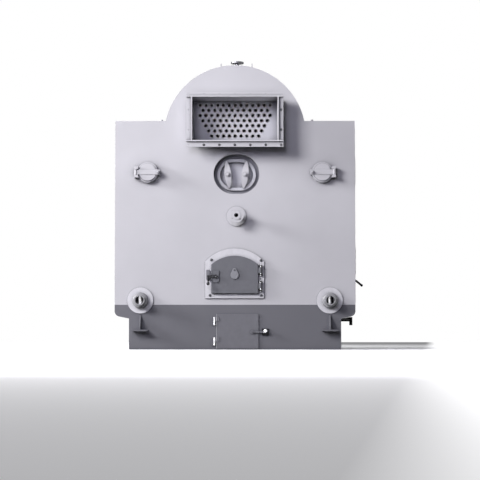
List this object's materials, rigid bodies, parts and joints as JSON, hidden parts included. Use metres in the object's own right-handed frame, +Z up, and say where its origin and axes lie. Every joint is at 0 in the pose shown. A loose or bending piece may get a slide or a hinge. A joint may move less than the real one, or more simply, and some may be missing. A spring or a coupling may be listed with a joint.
{
  "type": "industrial steam boiler",
  "caption": "Free-standing low-pressure steam boiler: a sheet-clad box casing with a domed drum, front flue outlet, manhole, fire door, ash door and two lower headers.",
  "frame": {"origin": "centre of the base on the floor, midway along and across the casing, on the underside of the middle sleeper", "axes": "+X to the right as seen from the front, +Y from the front to the rear, +Z up"},
  "size_m": [2.5134, 3.85, 3.054],
  "materials": {
    "light_paint": "smooth light grey enamel on sheet steel",
    "dark_paint": "smooth dark grey enamel on sheet steel",
    "door_frame_paint": "mid grey heat-proof enamel on cast iron",
    "door_paint": "dark grey heat-proof enamel on cast iron",
    "ash_door_paint": "smooth dark grey enamel on sheet steel",
    "nozzle_paint": "grey enamel",
    "black_paint": "black enamel",
    "hinge_steel": "bright bare steel",
    "nozzle_steel": "turned bare steel",
    "header_steel": "bare steel pipe, turned at its bore",
    "drum_steel": "plain boiler plate",
    "tube_steel": "drawn boiler tube",
    "grate_iron": "bare cast iron"
  },
  "bodies": {
    "boiler": {"front_skirt_left": "dark_paint", "front_skirt_right": "dark_paint", "front_skirt_lintel": "dark_paint", "base_sides": "dark_paint", "base_rear": "dark_paint", "side_bands": "dark_paint", "front_wall_left": "light_paint", "front_wall_right": "light_paint", "front_wall_middle": "light_paint", "front_wall_upper": "light_paint", "front_head": "light_paint", "side_wall_left": "light_paint", "side_wall_right": "light_paint", "side_pans": "light_paint", "top_decks": "light_paint", "drum_jacket": "light_paint", "rear_wall": "light_paint", "drum_shell": "drum_steel", "tube_sheets": "drum_steel", "fire_tubes": "tube_steel", "manhole_ring": "light_paint", "manhole_cover": "light_paint", "manhole_dogs": "light_paint", "flue_frame": "light_paint", "water_walls": "tube_steel", "header_left": "header_steel", "header_right": "header_steel", "support_feet": "dark_paint", "grate": "grate_iron", "feed_nozzle": "nozzle_paint", "inspection_neck_left": "light_paint", "inspection_neck_right": "light_paint", "fire_door_frame": "door_frame_paint", "ash_door_hinges": "hinge_steel", "top_nozzle": "nozzle_steel", "lifting_lugs": "light_paint", "side_drain": "black_paint"},
    "fire_door": {"fire_door": "door_paint"},
    "fire_latch": {"fire_latch": "black_paint"},
    "peephole_cover": {"peephole_cover": "door_paint"},
    "ash_door": {"ash_door": "ash_door_paint"},
    "ash_latch": {"ash_latch": "hinge_steel"},
    "left_lid": {"left_lid": "light_paint"},
    "right_lid": {"right_lid": "light_paint"},
    "damper_lever": {"damper_lever": "black_paint"}
  },
  "joints": [
    {"name": "fire_door_swing", "type": "hinge", "parent": "boiler", "child": "fire_door", "pos_m": [0.254, -1.839, 0.7], "axis": [0, 0, 1], "range_deg": [0, 120]},
    {"name": "fire_latch_lift", "type": "hinge", "parent": "fire_door", "child": "fire_latch", "pos_m": [-0.189, -1.868, 0.727], "axis": [0, 1, 0], "range_deg": [0, 50]},
    {"name": "peephole_swing", "type": "hinge", "parent": "fire_door", "child": "peephole_cover", "pos_m": [-0.004, -1.856, 0.791], "axis": [0, -1, 0], "range_deg": [-90, 90]},
    {"name": "ash_door_swing", "type": "hinge", "parent": "boiler", "child": "ash_door", "pos_m": [-0.206, -1.816, 0.18], "axis": [0, 0, -1], "range_deg": [0, 110]},
    {"name": "ash_latch_lift", "type": "hinge", "parent": "ash_door", "child": "ash_latch", "pos_m": [0.168, -1.819, 0.176], "axis": [0, -1, 0], "range_deg": [0, 45]},
    {"name": "left_lid_swing", "type": "hinge", "parent": "boiler", "child": "left_lid", "pos_m": [-0.99, -1.8805, 1.768], "axis": [0, 0, -1], "range_deg": [0, 110]},
    {"name": "right_lid_swing", "type": "hinge", "parent": "boiler", "child": "right_lid", "pos_m": [0.99, -1.8805, 1.768], "axis": [0, 0, 1], "range_deg": [0, 110]},
    {"name": "damper_lever_turn", "type": "hinge", "parent": "boiler", "child": "damper_lever", "pos_m": [1.2, -1.5, 0.705], "axis": [1, 0, 0], "range_deg": [-35, 35]}
  ]
}
